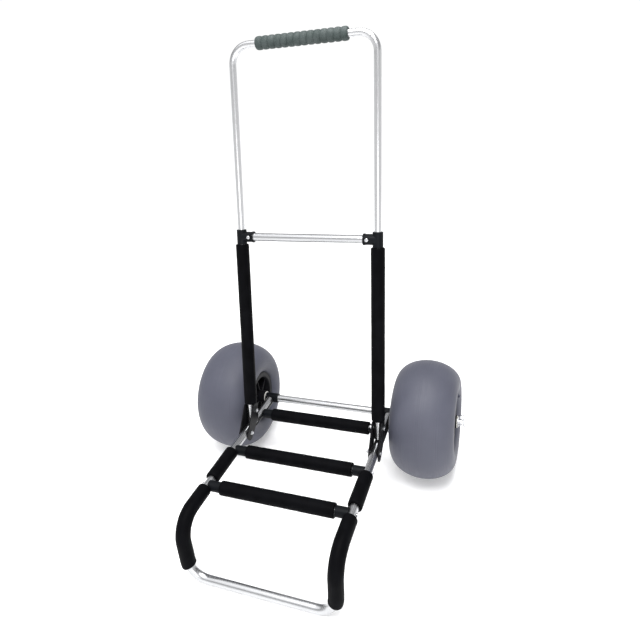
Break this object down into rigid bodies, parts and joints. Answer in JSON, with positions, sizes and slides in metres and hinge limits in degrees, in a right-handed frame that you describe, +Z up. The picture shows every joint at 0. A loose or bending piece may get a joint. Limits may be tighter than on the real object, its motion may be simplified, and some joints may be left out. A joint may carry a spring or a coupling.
{
  "type": "folding beach cart",
  "caption": "Folding beach cart with wide balloon wheels, foam-padded tube platform with a bent toe, hinged back frame and telescoping loop handle.",
  "frame": {"origin": "on the ground under the middle of the overall width and length", "axes": "-Y towards the toe (front), +X to the right seen from the front, +Z up"},
  "size_m": [0.813, 0.7153, 1.207],
  "materials": {
    "aluminium_tube": "satin drawn tube",
    "black_foam": "matt closed-cell foam sleeve with a skinned surface",
    "grip_foam": "matt ribbed foam rubber",
    "black_plastic": "fine spark-eroded moulding",
    "nylon": "natural nylon",
    "black_steel": "black powder coat",
    "plated_steel": "bright zinc plate",
    "grey_tyre": "smooth matt blue-grey thermoplastic",
    "hub_plastic": "black moulded",
    "valve_rubber": "black rubber"
  },
  "bodies": {
    "base": {"axle_fitting_left": "black_plastic", "axle_fitting_right": "black_plastic", "axle_rod": "plated_steel", "axle_tube": "aluminium_tube", "axle_washers": "plated_steel", "base_frame": "aluminium_tube", "cross_pad_front": "black_foam", "cross_pad_middle": "black_foam", "cross_pad_rear": "black_foam", "cross_tube_front": "aluminium_tube", "cross_tube_middle": "aluminium_tube", "cross_tube_rear": "aluminium_tube", "fitting_screws": "plated_steel", "pivot_bolts": "plated_steel", "pivot_nuts": "plated_steel", "rail_pad_left": "black_foam", "rail_pad_right": "black_foam", "saddle_front_left": "black_plastic", "saddle_front_right": "black_plastic", "saddle_middle_left": "black_plastic", "saddle_middle_right": "black_plastic", "saddle_rear_left": "black_plastic", "saddle_rear_right": "black_plastic", "saddle_screws": "plated_steel", "toe_pad_left": "black_foam", "toe_pad_right": "black_foam"},
    "back_frame": {"bracket_bolts": "plated_steel", "bracket_nuts": "plated_steel", "crossbar_rivets": "plated_steel", "pivot_bracket_left": "black_steel", "pivot_bracket_right": "black_steel", "slide_bush_left": "nylon", "slide_bush_right": "nylon", "top_fitting_left": "black_plastic", "top_fitting_right": "black_plastic", "upper_crossbar": "aluminium_tube", "upright_left": "aluminium_tube", "upright_pad_left": "black_foam", "upright_pad_right": "black_foam", "upright_right": "aluminium_tube"},
    "handle": {"handle_tube": "aluminium_tube", "handle_grip": "grip_foam", "handle_leg_guides": "black_plastic"},
    "wheel_left": {"hub_bushes_left": "nylon", "hub_inner_shell_left": "hub_plastic", "hub_outer_shell_left": "hub_plastic", "hub_screws_left": "plated_steel", "tyre_left": "grey_tyre", "tyre_valve_left": "valve_rubber", "valve_cap_left": "valve_rubber"},
    "wheel_right": {"hub_bushes_right": "nylon", "hub_inner_shell_right": "hub_plastic", "hub_outer_shell_right": "hub_plastic", "hub_screws_right": "plated_steel", "tyre_right": "grey_tyre", "tyre_valve_right": "valve_rubber", "valve_cap_right": "valve_rubber"},
    "clip_left": {"wheel_clip_left": "plated_steel"},
    "clip_right": {"wheel_clip_right": "plated_steel"}
  },
  "joints": [
    {"name": "back_fold", "type": "hinge", "parent": "base", "child": "back_frame", "pos_m": [0, 0.0127, 0.165], "axis": [1, 0, 0], "range_deg": [0, 100]},
    {"name": "handle_slide", "type": "slide", "parent": "back_frame", "child": "handle", "axis": [0, 0.1736, 0.9848], "range_m": [-0.41, 0]},
    {"name": "wheel_left_spin", "type": "hinge", "parent": "base", "child": "wheel_left", "pos_m": [-0.299, 0.1927, 0.165], "axis": [1, 0, 0], "continuous": true},
    {"name": "wheel_right_spin", "type": "hinge", "parent": "base", "child": "wheel_right", "pos_m": [0.299, 0.1927, 0.165], "axis": [1, 0, 0], "continuous": true},
    {"name": "clip_left_pull", "type": "slide", "parent": "base", "child": "clip_left", "axis": [0, 0, 1], "range_m": [0, 0.05]},
    {"name": "clip_right_pull", "type": "slide", "parent": "base", "child": "clip_right", "axis": [0, 0, 1], "range_m": [0, 0.05]}
  ]
}
